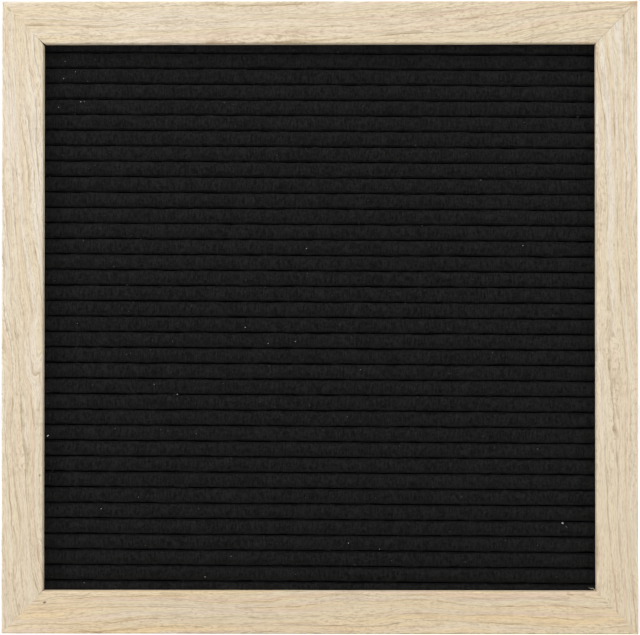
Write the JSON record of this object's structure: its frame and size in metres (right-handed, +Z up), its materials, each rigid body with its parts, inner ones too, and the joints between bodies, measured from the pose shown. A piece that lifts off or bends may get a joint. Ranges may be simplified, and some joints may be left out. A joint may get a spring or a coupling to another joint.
{
  "type": "wooden letter board",
  "caption": "Square letter board: mitred oak frame around a black pleated felt sheet whose horizontal slots grip letter tabs.",
  "frame": {"origin": "on the surface that the board stands on, at the middle of its width and of its whole depth", "axes": "+Z up the board, -Y out of its face towards the viewer, +X to the viewer's right"},
  "size_m": [0.254, 0.0186, 0.2526],
  "materials": {
    "oak": "pale natural oak, bare or thinly oiled, matt",
    "felt": "black brushed felt",
    "fibreboard": "plain brown fibreboard",
    "steel": "thin zinc plate",
    "brass": "brass-plated steel"
  },
  "bodies": {
    "root": {"rail_top": "oak", "rail_bottom": "oak", "rail_left": "oak", "rail_right": "oak", "felt_sheet": "felt", "backing_board": "fibreboard", "v_nail_bottom_left_1": "steel", "v_nail_bottom_left_2": "steel", "v_nail_bottom_right_1": "steel", "v_nail_bottom_right_2": "steel", "v_nail_top_right_1": "steel", "v_nail_top_right_2": "steel", "v_nail_top_left_1": "steel", "v_nail_top_left_2": "steel", "point_bottom_1": "steel", "point_bottom_2": "steel", "point_right_1": "steel", "point_right_2": "steel", "point_top_1": "steel", "point_top_2": "steel", "point_left_1": "steel", "point_left_2": "steel", "hanger_plate": "brass", "hanger_nail_left": "brass", "hanger_nail_right": "brass"}
  },
  "joints": []
}
